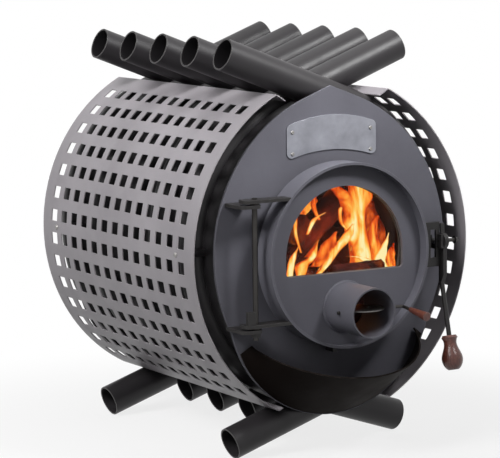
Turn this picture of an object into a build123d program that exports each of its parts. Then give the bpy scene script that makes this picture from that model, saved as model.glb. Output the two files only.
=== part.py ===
from build123d import *
import math
import os

os.makedirs("parts", exist_ok=True)

# Workshop stove: a drum of bent air tubes with a round glazed door. The floor is Z = 0, X = 0 is the plane
# between its left and right halves, and the door looks towards -Y. Heights named z are above the drum's axis,
# and reaches are measured forward from the front plate's face.

# air tubes
tube_outer = 60.3
tube_wall = 2.9
tube_pairs = 5
weld_gap = 0.5
bend_radius = 285.0
bend_offset = 50.0
outlet_rise = 21.0
foot_drop = 18.5
outlet_length = 278.0
foot_length = 255.0
short_foot_length = 142.0

# wall strips between tubes of one side
strip_thickness = 4.0
strip_gap = 0.2
strip_end_gap = 0.4

# front and rear plates
plate_thickness = 6.0
plate_margin = 15.0
plate_foot_radius = 221.0
plate_foot_drop = 90.0

# slotted side panels
panel_radius = 330.0
panel_offset = 32.3
panel_half_angle = 61.8
panel_thickness = 2.0
panel_length = 614.0
panel_lead = 7.0
panel_top_lip = 20.0
panel_foot_lip = 7.0
panel_lip_turn = 61.0
panel_bend_radius = 3.0
slot_rows = 14
slot_columns = 13
slot_row_pitch = 7.992
slot_column_pitch = 43.1
slot_turn = 0.9
slot_height = 23.0
slot_width = 24.0
slot_corner = 1.5
standoff_radius = 7.0
standoff_space = 1.0
panel_gap = 0.2

# small round-headed screws
screw_radius = 2.5
screw_head_radius = 5.0
screw_head_height = 2.8
screw_head_taper = 30.0
screw_fit = 0.05
screw_slack = 0.3
screw_depth = 12.0

# name plate
sign_half_width = 96.8
sign_side_bottom = 168.4
sign_side_top = 232.1
sign_crest_bottom = 184.5
sign_crest_top = 249.0
sign_thickness = 2.0
sign_corner = 10.0
sign_gap = 0.1
rivet_inset = 12.0
rivet_radius = 2.0
rivet_head_radius = 4.0
rivet_head_height = 1.8

# door
door_drop = 6.2
rim_radius = 171.6
rim_wall = 5.0
rim_rear_reach = 18.0
rim_front_reach = 65.4
disc_thickness = 6.0
disc_reach = 45.0
disc_gap = 0.15
collar_radius = 156.0
collar_wall = 5.0
collar_length = 29.0
seal_width = 12.0
seal_radius = 153.5
seal_clearance = 0.4
window_radius = 127.0
window_sill = 39.0
window_corner = 8.0
glass_margin = 8.0
glass_thickness = 4.0
gasket_thickness = 1.5
frame_margin = 18.0
frame_corner = 32.0
frame_thickness = 3.0
frame_screw_margin = 13.5
frame_screw_step = 30.0
frame_screw_bottom_pitch = 90.0
frame_screw_bite = 4.0
frame_screw_radius = 2.0
frame_screw_head_radius = 3.8
frame_screw_head_height = 2.2
stack_gap = 0.1

# air spout and its throttle
spout_radius = 46.5
spout_wall = 3.0
spout_z = -103.2
spout_reach = 141.4
throttle_reach = 98.0
axle_radius = 3.0
axle_clearance = 0.08
axle_left = 51.0
axle_right = 91.0
axle_bend = 5.0
throttle_droop = 7.0
throttle_plate_radius = 42.0
throttle_plate_thickness = 2.0
throttle_screw_pitch = 30.0
throttle_screw_radius = 1.5
throttle_screw_head_radius = 3.0
throttle_screw_head_height = 1.6
throttle_screw_bite = 4.5
throttle_tip_reach = 177.0
throttle_grip_length = 55.0
throttle_grip_end_radius = 8.6
throttle_grip_neck_radius = 4.4
throttle_grip_round = 1.8
throttle_rod_bite = 38.0

# hinge
hinge_x = -195.0
hinge_reach = 50.0
hinge_rod_radius = 5.0
hinge_clearance = 0.06
hinge_fit = 0.02
arm_z = 113.0
arm_thickness = 6.0
arm_left = -223.0
arm_rear_reach = 36.0
arm_corner = 8.0
arm_weld = 0.1
washer_radius = 9.0
washer_thickness = 3.4
washer_gap = 0.1
arm_play = 0.3
ear_left = -228.0
ear_right = -186.0
ear_reach = 64.0
ear_thickness = 6.0
ear_corner = 10.0
rod_overhang = 2.5
rod_tail = 14.0
nut_half_width = 8.5
nut_height = 8.0
block_left = -218.0
block_width = 15.0
block_depth = 9.0
block_height = 24.0
block_front_reach = 64.0

# lug below the door's rim
rest_left = -16.0
rest_right = -8.0
rest_height = 10.0
rest_reach = 26.0
rest_gap = 0.8

# latch
bracket_reach = 49.5
bracket_thickness = 5.0
bracket_right = 207.0
bracket_top = 40.0
bracket_bottom = -44.0
bracket_root = 150.0
slit_left = 187.0
slit_right = 199.0
slit_top = 26.0
slit_bottom = -27.0
cheek_thickness = 5.0
cheek_reach = 63.0
cheek_top = 17.0
cheek_bottom = -9.0
latch_z = 4.0
latch_reach = 53.0
latch_pin_radius = 3.5
latch_clearance = 0.06
latch_pin_right = 238.0
latch_head_radius = 7.5
latch_head_height = 6.0
lever_left = 208.0
lever_thickness = 8.0
lever_half_width = 8.0
lever_eye_radius = 15.0
lever_horn_height = 33.0
lever_horn_width = 4.0
lever_horn_shift = 3.0
lever_bar_bottom = -60.0
lever_neck_bottom = -80.0
lever_neck_shift = 10.0
lever_arm_reach = 14.0
lever_arm_top = -3.8
lever_arm_depth = 9.5
lever_rod_radius = 4.5
lever_lean = 13.5
lever_rod_top = -74.0
latch_grip_top = -173.0
latch_grip_bite = 45.0
latch_grip_length = 65.0
latch_top_radius = 13.0
latch_collar_radius = 15.4
latch_collar_drop = 4.5
latch_neck_radius = 12.2
latch_neck_drop = 17.5
latch_swell_radius = 16.6
latch_swell_drop = 31.0
latch_bulb_radius = 20.0
latch_bulb_drop = 43.0
latch_shoulder_radius = 18.4
latch_shoulder_drop = 53.5
latch_heel_radius = 14.6
latch_heel_drop = 60.5
latch_foot_radius = 9.5
grip_fit = 0.05
keeper_left = 198.0
keeper_right = 224.0
keeper_lug_width = 5.0
keeper_reach = 23.0
keeper_peg_radius = 5.0
keeper_gap = 0.8
keeper_lug_reach = 30.0
keeper_lug_top = 14.0
keeper_lug_bottom = -12.0

# ash lip
lip_thickness = 3.0
lip_end_z = -180.0
lip_tip_half = 176.5
lip_tip_reach = 5.0
lip_tip_z = -166.0
lip_front_reach = 140.0
lip_front_z = -218.0
lip_bite = 3.0

# baffle inside the drum
baffle_z = 75.0
baffle_thickness = 6.0
baffle_gap = 0.5
baffle_front_space = 130.0
rail_width = 25.0
rail_thickness = 5.0
rail_gap = 0.1

# flue outlet and damper
flue_radius = 59.5
flue_wall = 3.0
flue_length = 87.0
flue_z = 150.0
flue_stop_setback = 46.0
flue_stop_width = 4.0
flue_stop_height = 2.0
damper_setback = 36.0
damper_radius = 53.0
damper_thickness = 3.0
damper_axle_radius = 5.0
damper_left = 68.0
damper_right = 96.0
damper_screw_pitch = 50.0
damper_screw_radius = 2.0
damper_screw_bite = 5.0
damper_screw_head_radius = 3.8
damper_screw_head_height = 2.0
handle_thickness = 6.0
handle_width = 18.0
handle_length = 52.0

# values derived from the sizes above
tube_radius = tube_outer / 2
tube_bore = tube_radius - tube_wall
tube_pitch = tube_outer + weld_gap
tube_count = 2 * tube_pairs
rise = math.radians(outlet_rise)
drop = math.radians(foot_drop)
axis_height = (bend_radius + tube_radius) * math.cos(drop) + foot_length * math.sin(drop)
first_tube = plate_thickness + weld_gap + tube_radius
rear_plate_start = first_tube + (tube_count - 1) * tube_pitch + tube_radius + weld_gap
body_depth = rear_plate_start + plate_thickness
plate_face = throttle_tip_reach - (throttle_tip_reach + body_depth + flue_length) / 2
plate_radius = bend_radius + plate_margin
door_z = axis_height - door_drop
disc_radius = rim_radius - rim_wall - disc_gap
opening_radius = collar_radius - collar_wall


def front_plane(reach):
    """Plane facing forward at a reach from the front plate's face, with its origin on the drum's axis."""
    return Plane(origin=(0, plate_face - reach, axis_height), x_dir=(1, 0, 0), z_dir=(0, -1, 0))


def side_plane(x):
    """Plane facing right at x, with local x along +Y from the plate's face and local y along +Z."""
    return Plane(origin=(x, plate_face, axis_height), x_dir=(0, 1, 0), z_dir=(1, 0, 0))


def drum_plane(side, setback):
    """Plane across the drum behind the plate's face. Its local x points to the drum's side."""
    origin = (0, plate_face + setback, axis_height)
    return Plane(origin=origin, x_dir=(side, 0, 0), z_dir=(0, -side, 0))


def level_plane(z):
    """Level plane at a height above the drum's axis."""
    return Plane.XY.offset(axis_height + z)


def save(shape, label):
    """Label a finished part and write it."""
    shape.label = label
    export_step(shape, f"parts/{label}.step")


def round_screw(plane, radius, length, head_radius, head_height):
    """Screw in the current part, with its shank behind the plane and its head in front."""
    with BuildSketch(plane) as shank:
        Circle(radius)
    extrude(to_extrude=shank.sketch, amount=-length)
    with BuildSketch(plane) as head:
        Circle(head_radius)
    extrude(to_extrude=head.sketch, amount=head_height, taper=screw_head_taper)


def make_tube(side, setback, lower_leg):
    """One air tube that wraps round the given side, 1 for the right and -1 for the left."""
    centre_x = -bend_offset * side
    y = plate_face + setback
    top_x = centre_x + side * bend_radius * math.sin(rise)
    top_z = axis_height + bend_radius * math.cos(rise)
    low_x = centre_x + side * bend_radius * math.sin(drop)
    low_z = axis_height - bend_radius * math.cos(drop)
    top_plane = Plane(
        origin=(top_x, y, top_z),
        x_dir=(0, 1, 0),
        z_dir=(-side * math.cos(rise), 0, math.sin(rise)),
    )
    low_plane = Plane(
        origin=(low_x, y, low_z),
        x_dir=(0, 1, 0),
        z_dir=(-side * math.cos(drop), 0, -math.sin(drop)),
    )
    with BuildPart() as tube:
        with BuildSketch(top_plane):
            Circle(tube_radius)
            Circle(tube_bore, mode=Mode.SUBTRACT)
        revolve(
            axis=Axis((centre_x, y, axis_height), (0, side, 0)),
            revolution_arc=180 - outlet_rise - foot_drop,
        )
        with BuildSketch(top_plane):
            Circle(tube_radius)
            Circle(tube_bore, mode=Mode.SUBTRACT)
        extrude(amount=outlet_length)
        with BuildSketch(low_plane):
            Circle(tube_radius)
            Circle(tube_bore, mode=Mode.SUBTRACT)
        extrude(amount=lower_leg)
    return tube.part


def strip_end_angle(slope):
    """Angle at which a wall strip stops short of the tube that crosses it."""
    outer = bend_radius + strip_thickness / 2
    room = bend_radius - 2 * bend_offset * math.sin(slope) - tube_radius - strip_end_gap
    return math.degrees(slope + math.asin(room / outer))


def make_strips(side, spans):
    """Wall strips of one side. Each span is the start and the end of a strip behind the plate's face."""
    low_angle = strip_end_angle(drop)
    high_angle = strip_end_angle(rise)
    with BuildPart() as strips:
        for start, end in spans:
            with BuildSketch(drum_plane(side, start)):
                with BuildLine():
                    outer = CenterArc(
                        (-bend_offset, 0),
                        bend_radius + strip_thickness / 2,
                        -low_angle,
                        low_angle + high_angle,
                    )
                    inner = CenterArc(
                        (-bend_offset, 0),
                        bend_radius - strip_thickness / 2,
                        -low_angle,
                        low_angle + high_angle,
                    )
                    Line(outer @ 0, inner @ 0)
                    Line(outer @ 1, inner @ 1)
                make_face()
            extrude(amount=-side * (end - start))
    return strips.part


def plate_outline():
    """Outline of the end plates, drawn in the current sketch."""
    shoulder_x = plate_radius * math.sin(rise) - bend_offset
    shoulder_z = plate_radius * math.cos(rise)
    apex_z = shoulder_z + shoulder_x * math.tan(rise)
    with Locations((-bend_offset, 0)):
        Circle(plate_radius)
    with Locations((bend_offset, 0)):
        Circle(plate_radius, mode=Mode.INTERSECT)
    Polygon((0, apex_z), (-shoulder_x, shoulder_z), (shoulder_x, shoulder_z), align=None)
    with Locations((0, -plate_foot_drop)):
        Circle(plate_foot_radius)


def panel_point(side, angle, radius, setback):
    """Point at an angle and radius about a side panel's own axis."""
    x = side * (radius * math.cos(math.radians(angle)) - panel_offset)
    z = axis_height + radius * math.sin(math.radians(angle))
    return (x, plate_face + setback, z)


def panel_normal_plane(side, angle, radius, setback):
    """Plane that looks outward from a side panel."""
    normal = (side * math.cos(math.radians(angle)), 0, math.sin(math.radians(angle)))
    return Plane(origin=panel_point(side, angle, radius, setback), x_dir=(0, 1, 0), z_dir=normal)


def standoff_setbacks(side):
    """Setbacks of the two spacers of a side, each beside its first or last tube."""
    first = first_tube if side > 0 else first_tube + tube_pitch
    last = first + 2 * (tube_pairs - 1) * tube_pitch
    aside = tube_radius + standoff_space + standoff_radius
    return [first + side * aside, last + side * aside]


def make_panel(side):
    """Slotted side panel with its two inturned lips."""
    inner_radius = panel_radius - panel_thickness
    with BuildPart() as panel:
        with BuildSketch(drum_plane(side, -panel_lead)):
            with BuildLine():
                outer = CenterArc((-panel_offset, 0), panel_radius, -panel_half_angle, 2 * panel_half_angle)
                inner = CenterArc((-panel_offset, 0), inner_radius, -panel_half_angle, 2 * panel_half_angle)
                for end, way, lip in ((1, 1, panel_top_lip), (0, -1, panel_foot_lip)):
                    turn = way * panel_lip_turn
                    outer_bend = JernArc(
                        outer @ end,
                        (outer % end) * way,
                        panel_bend_radius + panel_thickness,
                        turn,
                    )
                    inner_bend = JernArc(inner @ end, (inner % end) * way, panel_bend_radius, turn)
                    outer_lip = Line(outer_bend @ 1, outer_bend @ 1 + (outer_bend % 1) * lip)
                    inner_lip = Line(inner_bend @ 1, inner_bend @ 1 + (inner_bend % 1) * lip)
                    Line(outer_lip @ 1, inner_lip @ 1)
            make_face()
        extrude(amount=-side * panel_length)
        middle = panel_length / 2 - panel_lead
        for row in range(slot_rows):
            angle = slot_turn + (row - (slot_rows - 1) / 2) * slot_row_pitch
            with BuildSketch(panel_normal_plane(side, angle, panel_radius, middle)):
                with GridLocations(slot_column_pitch, slot_height, slot_columns, 1):
                    RectangleRounded(slot_width, slot_height, slot_corner)
        extrude(amount=2 * panel_thickness, both=True, mode=Mode.SUBTRACT)
        for setback in standoff_setbacks(side):
            with BuildSketch(panel_normal_plane(side, slot_turn, panel_radius, setback)):
                Circle(screw_radius + screw_slack)
        extrude(amount=2 * panel_thickness, both=True, mode=Mode.SUBTRACT)
    return panel.part


def make_standoffs(side):
    """Round spacers between a side panel and the wall strips, coped to the strips."""
    start_radius = panel_radius - panel_thickness - panel_gap
    with BuildPart() as standoffs:
        for setback in standoff_setbacks(side):
            with BuildSketch(panel_normal_plane(side, slot_turn, start_radius, setback)):
                Circle(standoff_radius)
        extrude(amount=-(panel_radius - bend_radius + bend_offset))
        with BuildSketch(drum_plane(side, 0)):
            with Locations((-bend_offset, 0)):
                Circle(bend_radius + strip_thickness / 2 + panel_gap)
        extrude(amount=-side * body_depth, mode=Mode.SUBTRACT)
        for setback in standoff_setbacks(side):
            with BuildSketch(panel_normal_plane(side, slot_turn, start_radius, setback)):
                Circle(screw_radius + screw_fit)
        extrude(amount=-screw_depth, mode=Mode.SUBTRACT)
    return standoffs.part


def drum_half_width(z):
    """Half of the clear width between the tubes at a height above the drum's axis."""
    return math.sqrt((bend_radius - tube_radius) ** 2 - z ** 2) - bend_offset


# air tubes, numbered from the front on each side
for index in range(tube_count):
    tube_side = 1 if index % 2 == 0 else -1
    pair = index // 2
    is_leg = pair in (0, tube_pairs - 1)
    air_tube = make_tube(
        tube_side,
        first_tube + index * tube_pitch,
        foot_length if is_leg else short_foot_length,
    )
    side_name = "right" if tube_side > 0 else "left"
    save(air_tube, f"air_tube_{side_name}_{pair + 1}")

# wall strips: one in each gap that the tubes of a side leave
right_spans = []
left_spans = []
for index in range(tube_count):
    gap_start = first_tube + (index - 1) * tube_pitch + tube_radius + strip_gap
    gap_end = first_tube + (index + 1) * tube_pitch - tube_radius - strip_gap
    if index == 0:
        gap_start = plate_thickness + strip_gap
    if index == tube_count - 1:
        gap_end = rear_plate_start - strip_gap
    if index % 2 == 0:
        left_spans.append((gap_start, gap_end))
    else:
        right_spans.append((gap_start, gap_end))
save(make_strips(1, right_spans), "wall_strips_right")
save(make_strips(-1, left_spans), "wall_strips_left")

# front plate with the firing opening and the rivet holes of the name plate
rivet_places = []
for rivet_x in (-sign_half_width + rivet_inset, sign_half_width - rivet_inset):
    for rivet_z in (sign_side_bottom + rivet_inset, sign_side_top - rivet_inset):
        rivet_places.append((rivet_x, rivet_z))

with BuildPart() as front_plate:
    with BuildSketch(front_plane(0)):
        plate_outline()
        with Locations((0, -door_drop)):
            Circle(opening_radius, mode=Mode.SUBTRACT)
        with Locations(*rivet_places):
            Circle(rivet_radius + screw_fit, mode=Mode.SUBTRACT)
    extrude(amount=-plate_thickness)
save(front_plate.part, "front_plate")

# rear plate with the flue opening
with BuildPart() as rear_plate:
    with BuildSketch(front_plane(-rear_plate_start)):
        plate_outline()
        with Locations((0, flue_z)):
            Circle(flue_radius - flue_wall, mode=Mode.SUBTRACT)
    extrude(amount=-plate_thickness)
save(rear_plate.part, "rear_plate")

# collar round the firing opening
with BuildPart() as door_collar:
    with BuildSketch(front_plane(0)):
        with Locations((0, -door_drop)):
            Circle(collar_radius)
            Circle(opening_radius, mode=Mode.SUBTRACT)
    extrude(amount=collar_length)
save(door_collar.part, "door_collar")

# ash lip: a sheet between the plate's lower edge and a raised front edge
lip_rise = plate_foot_drop + lip_end_z
lip_low_angle = math.degrees(math.asin(-lip_rise / plate_foot_radius))
with BuildPart() as ash_lip:
    with BuildLine(front_plane(-lip_bite)) as lip_root:
        CenterArc(
            (0, -plate_foot_drop),
            plate_foot_radius - lip_thickness,
            180 + lip_low_angle,
            180 - 2 * lip_low_angle,
        )
    with BuildLine() as lip_edge:
        ThreePointArc(
            (-lip_tip_half, plate_face - lip_tip_reach, axis_height + lip_tip_z),
            (0, plate_face - lip_front_reach, axis_height + lip_front_z),
            (lip_tip_half, plate_face - lip_tip_reach, axis_height + lip_tip_z),
        )
    lip_face = Face.make_surface_from_curves(lip_root.edges()[0], lip_edge.edges()[0])
    thicken(to_thicken=lip_face, amount=lip_thickness, mode=Mode.ADD)
    split(bisect_by=front_plane(0), keep=Keep.TOP)
save(ash_lip.part, "ash_lip")

# baffle plate under the flue outlet and the rails it lies on
baffle_half = drum_half_width(baffle_z + baffle_thickness) - baffle_gap
baffle_start = plate_thickness + baffle_front_space
baffle_length = rear_plate_start - baffle_gap - baffle_start
with BuildPart() as baffle_plate:
    with BuildSketch(level_plane(baffle_z)):
        with Locations((0, plate_face + baffle_start + baffle_length / 2)):
            Rectangle(2 * baffle_half, baffle_length)
    extrude(amount=baffle_thickness)
save(baffle_plate.part, "baffle_plate")

rail_centre = drum_half_width(baffle_z - rail_gap) - baffle_gap - rail_width / 2
with BuildPart() as baffle_rails:
    with BuildSketch(level_plane(baffle_z - rail_gap)):
        with Locations((0, plate_face + baffle_start + baffle_length / 2)):
            with GridLocations(2 * rail_centre, baffle_length, 2, 1):
                Rectangle(rail_width, baffle_length)
    extrude(amount=-rail_thickness)
save(baffle_rails.part, "baffle_rails")

# side panels, their spacers and screws
save(make_panel(1), "right_side_panel")
save(make_panel(-1), "left_side_panel")
save(make_standoffs(1), "panel_standoffs_right")
save(make_standoffs(-1), "panel_standoffs_left")
with BuildPart() as panel_screws:
    for screw_side in (1, -1):
        for screw_setback in standoff_setbacks(screw_side):
            round_screw(
                panel_normal_plane(screw_side, slot_turn, panel_radius + panel_gap, screw_setback),
                screw_radius,
                screw_depth,
                screw_head_radius,
                screw_head_height,
            )
save(panel_screws.part, "panel_screws")

# name plate and its rivets
with BuildPart() as name_plate:
    with BuildSketch(front_plane(sign_gap)) as sign_sketch:
        with BuildLine():
            sign_top = ThreePointArc(
                (-sign_half_width, sign_side_top),
                (0, sign_crest_top),
                (sign_half_width, sign_side_top),
            )
            sign_bottom = ThreePointArc(
                (-sign_half_width, sign_side_bottom),
                (0, sign_crest_bottom),
                (sign_half_width, sign_side_bottom),
            )
            Line(sign_top @ 0, sign_bottom @ 0)
            Line(sign_top @ 1, sign_bottom @ 1)
        make_face()
        fillet(sign_sketch.vertices(), radius=sign_corner)
        with Locations(*rivet_places):
            Circle(rivet_radius + screw_fit, mode=Mode.SUBTRACT)
    extrude(amount=sign_thickness)
save(name_plate.part, "name_plate")

with BuildPart() as name_plate_rivets:
    for rivet_x, rivet_z in rivet_places:
        rivet_plane = Plane(
            origin=(rivet_x, plate_face - 2 * sign_gap - sign_thickness, axis_height + rivet_z),
            x_dir=(1, 0, 0),
            z_dir=(0, -1, 0),
        )
        round_screw(
            rivet_plane,
            rivet_radius,
            2 * sign_gap + sign_thickness + plate_thickness,
            rivet_head_radius,
            rivet_head_height,
        )
save(name_plate_rivets.part, "name_plate_rivets")

# hinge: two ears on the front plate, a rod through them and washers that carry the door's arms
upper_arm_z = arm_z - door_drop
lower_arm_z = -arm_z - door_drop
ear_drop = arm_thickness / 2 + arm_play + washer_thickness + washer_gap
for ear_name, over_arm_z in (("hinge_ear_upper", upper_arm_z), ("hinge_ear_lower", lower_arm_z)):
    with BuildPart() as hinge_ear:
        with BuildSketch(level_plane(over_arm_z - ear_drop)) as ear_sketch:
            with BuildLine():
                Polyline(
                    (ear_left, plate_face - weld_gap / 2),
                    (ear_left, plate_face - ear_reach),
                    (ear_right, plate_face - ear_reach),
                    (ear_right, plate_face - weld_gap / 2),
                    close=True,
                )
            make_face()
            fillet(ear_sketch.vertices().sort_by(Axis.Y)[:2], radius=ear_corner)
            with Locations((hinge_x, plate_face - hinge_reach)):
                Circle(hinge_rod_radius + hinge_fit, mode=Mode.SUBTRACT)
        extrude(amount=-ear_thickness)
    save(hinge_ear.part, ear_name)

lower_ear_foot = lower_arm_z - ear_drop - ear_thickness
rod_bottom = lower_ear_foot - rod_tail
rod_top = upper_arm_z + arm_thickness / 2 + rod_overhang
with BuildPart() as hinge_rod:
    with BuildSketch(level_plane(rod_bottom)):
        with Locations((hinge_x, plate_face - hinge_reach)):
            Circle(hinge_rod_radius)
    extrude(amount=rod_top - rod_bottom)
save(hinge_rod.part, "hinge_rod")

with BuildPart() as hinge_nut:
    with BuildSketch(level_plane(lower_ear_foot - washer_gap)):
        with Locations((hinge_x, plate_face - hinge_reach)):
            RegularPolygon(nut_half_width, 6, major_radius=False)
            Circle(hinge_rod_radius + hinge_fit, mode=Mode.SUBTRACT)
    extrude(amount=-nut_height)
save(hinge_nut.part, "hinge_nut")

with BuildPart() as hinge_washers:
    for over_arm_z in (upper_arm_z, lower_arm_z):
        with BuildSketch(level_plane(over_arm_z - arm_thickness / 2 - arm_play)):
            with Locations((hinge_x, plate_face - hinge_reach)):
                Circle(washer_radius)
                Circle(hinge_rod_radius + hinge_fit, mode=Mode.SUBTRACT)
        extrude(amount=-washer_thickness)
save(hinge_washers.part, "hinge_washers")

# lug under the door's rim
with BuildPart() as door_rest_lug:
    with BuildSketch(front_plane(weld_gap / 2)):
        with Locations(((rest_left + rest_right) / 2, -door_drop - rim_radius - rest_gap - rest_height / 2)):
            Rectangle(rest_right - rest_left, rest_height)
    extrude(amount=rest_reach)
save(door_rest_lug.part, "door_rest_lug")

# keeper: a lug on the front plate with a peg over the latch lever's arm
keeper_z = lever_arm_top + keeper_gap + keeper_peg_radius
with BuildPart() as latch_keeper:
    with BuildSketch(side_plane(keeper_left)):
        with BuildLine():
            Polyline(
                (-weld_gap / 2, keeper_lug_bottom),
                (-keeper_lug_reach, keeper_lug_bottom),
                (-keeper_lug_reach, keeper_lug_top),
                (-weld_gap / 2, keeper_lug_top),
                close=True,
            )
        make_face()
    extrude(amount=keeper_lug_width)
    with BuildSketch(side_plane(keeper_left)):
        with Locations((-keeper_reach, keeper_z)):
            Circle(keeper_peg_radius)
    extrude(amount=keeper_right - keeper_left)
save(latch_keeper.part, "latch_keeper")


def window_outline(margin):
    """Window shape grown by a margin, drawn in the current sketch about the door's centre."""
    radius = window_radius + margin
    low = door_drop - window_sill - margin
    with BuildLine() as outline:
        over = CenterArc((0, 0), radius, 0, 180)
        Polyline(over @ 1, (-radius, low), (radius, low), over @ 0)
    make_face(outline.edges())


def door_plane(reach):
    """Plane facing forward with its origin on the door's centre."""
    return Plane(origin=(0, plate_face - reach, door_z), x_dir=(1, 0, 0), z_dir=(0, -1, 0))


# places of the screws that hold the glass, about the door's centre
frame_screw_places = []
for count in range(int(180 / frame_screw_step) + 1):
    screw_turn = math.radians(count * frame_screw_step)
    reach_out = window_radius + frame_screw_margin
    frame_screw_places.append((reach_out * math.cos(screw_turn), reach_out * math.sin(screw_turn)))
for count in (-1, 0, 1):
    frame_screw_places.append((count * frame_screw_bottom_pitch, door_drop - window_sill - frame_screw_margin))

# door disc with its window and air opening
with BuildPart() as door_disc:
    with BuildSketch(door_plane(disc_reach)):
        Circle(disc_radius)
        with BuildSketch(door_plane(disc_reach), mode=Mode.SUBTRACT) as window_sketch:
            window_outline(0)
            fillet(window_sketch.vertices().sort_by(Axis.Y)[:2], radius=window_corner)
        with Locations((0, spout_z + door_drop)):
            Circle(spout_radius - spout_wall, mode=Mode.SUBTRACT)
    extrude(amount=-disc_thickness)
    with BuildSketch(door_plane(disc_reach - disc_thickness)):
        with Locations(*frame_screw_places):
            Circle(frame_screw_radius + screw_fit)
    extrude(amount=frame_screw_bite, mode=Mode.SUBTRACT)
save(door_disc.part, "door_disc")

# door rim
with BuildPart() as door_rim:
    with BuildSketch(door_plane(rim_rear_reach)):
        Circle(rim_radius)
        Circle(rim_radius - rim_wall, mode=Mode.SUBTRACT)
    extrude(amount=rim_front_reach - rim_rear_reach)
save(door_rim.part, "door_rim")

# seal rope on the disc's rear face
seal_back = collar_length + seal_clearance
seal_front = disc_reach - disc_thickness - stack_gap
with BuildPart() as door_seal:
    with BuildSketch(door_plane(seal_back)):
        Circle(seal_radius + seal_width / 2)
        Circle(seal_radius - seal_width / 2, mode=Mode.SUBTRACT)
    extrude(amount=seal_front - seal_back)
save(door_seal.part, "door_seal")

# gasket, glass and frame, stacked on the disc's rear face
gasket_front = disc_reach - disc_thickness - stack_gap
glass_front = gasket_front - gasket_thickness - stack_gap
frame_front = glass_front - glass_thickness - stack_gap
frame_back = frame_front - frame_thickness
with BuildPart() as glass_gasket:
    with BuildSketch(door_plane(gasket_front)):
        window_outline(glass_margin)
        with BuildSketch(door_plane(gasket_front), mode=Mode.SUBTRACT):
            window_outline(0)
    extrude(amount=-gasket_thickness)
save(glass_gasket.part, "glass_gasket")

with BuildPart() as window_glass:
    with BuildSketch(door_plane(glass_front)):
        window_outline(glass_margin)
    extrude(amount=-glass_thickness)
save(window_glass.part, "window_glass")

with BuildPart() as glass_frame:
    with BuildSketch(door_plane(frame_front)) as frame_sketch:
        window_outline(frame_margin)
        fillet(frame_sketch.vertices().sort_by(Axis.Y)[:2], radius=frame_corner)
        with BuildSketch(door_plane(frame_front), mode=Mode.SUBTRACT):
            window_outline(0)
        with Locations(*frame_screw_places):
            Circle(frame_screw_radius + screw_fit, mode=Mode.SUBTRACT)
    extrude(amount=-frame_thickness)
save(glass_frame.part, "glass_frame")

with BuildPart() as glass_screws:
    for screw_x, screw_z in frame_screw_places:
        screw_plane = Plane(
            origin=(screw_x, plate_face - frame_back + stack_gap, door_z + screw_z),
            x_dir=(1, 0, 0),
            z_dir=(0, 1, 0),
        )
        round_screw(
            screw_plane,
            frame_screw_radius,
            disc_reach - disc_thickness + frame_screw_bite - frame_back,
            frame_screw_head_radius,
            frame_screw_head_height,
        )
save(glass_screws.part, "glass_screws")

# air spout with its two axle holes
with BuildPart() as air_spout:
    with BuildSketch(front_plane(disc_reach + stack_gap)):
        with Locations((0, spout_z)):
            Circle(spout_radius)
            Circle(spout_radius - spout_wall, mode=Mode.SUBTRACT)
    extrude(amount=spout_reach - disc_reach - stack_gap)
    with BuildSketch(side_plane(0)):
        with Locations((-throttle_reach, spout_z)):
            Circle(axle_radius + axle_clearance)
    extrude(amount=spout_radius * 2, both=True, mode=Mode.SUBTRACT)
save(air_spout.part, "air_spout")

# throttle: bent axle, plate, screws and wooden grip
droop = math.radians(throttle_droop)
throttle_plane = Plane(
    origin=(0, plate_face - throttle_reach, axis_height + spout_z),
    x_dir=(1, 0, 0),
    z_dir=(0, math.sin(droop), -math.cos(droop)),
)
grip_end = (throttle_tip_reach - throttle_reach) / math.cos(droop)
grip_start = grip_end - throttle_grip_length
throttle_screw_seat = axle_radius + stack_gap + throttle_plate_thickness + stack_gap
with BuildPart() as throttle_axle:
    with BuildLine(throttle_plane) as axle_path:
        FilletPolyline(
            (-axle_left, 0),
            (axle_right, 0),
            (axle_right, grip_start + throttle_rod_bite),
            radius=axle_bend,
        )
    with BuildSketch(Plane(origin=axle_path.line @ 0, z_dir=axle_path.line % 0)):
        Circle(axle_radius)
    sweep()
    with BuildSketch(level_plane(spout_z + throttle_screw_seat)):
        with Locations((0, plate_face - throttle_reach)):
            with GridLocations(throttle_screw_pitch, axle_radius, 2, 1):
                Circle(throttle_screw_radius + screw_fit)
    extrude(amount=-throttle_screw_seat + axle_radius - throttle_screw_bite, mode=Mode.SUBTRACT)
save(throttle_axle.part, "throttle_axle")

with BuildPart() as throttle_plate:
    with BuildSketch(level_plane(spout_z + axle_radius + stack_gap)):
        with Locations((0, plate_face - throttle_reach)):
            Circle(throttle_plate_radius)
            with GridLocations(throttle_screw_pitch, axle_radius, 2, 1):
                Circle(throttle_screw_radius + screw_fit, mode=Mode.SUBTRACT)
    extrude(amount=throttle_plate_thickness)
save(throttle_plate.part, "throttle_plate")

with BuildPart() as throttle_screws:
    for screw_x in (-throttle_screw_pitch / 2, throttle_screw_pitch / 2):
        throttle_screw_plane = Plane(
            origin=(screw_x, plate_face - throttle_reach, axis_height + spout_z + throttle_screw_seat),
            x_dir=(1, 0, 0),
            z_dir=(0, 0, 1),
        )
        round_screw(
            throttle_screw_plane,
            throttle_screw_radius,
            throttle_screw_seat - axle_radius + throttle_screw_bite,
            throttle_screw_head_radius,
            throttle_screw_head_height,
        )
save(throttle_screws.part, "throttle_screws")

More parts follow.
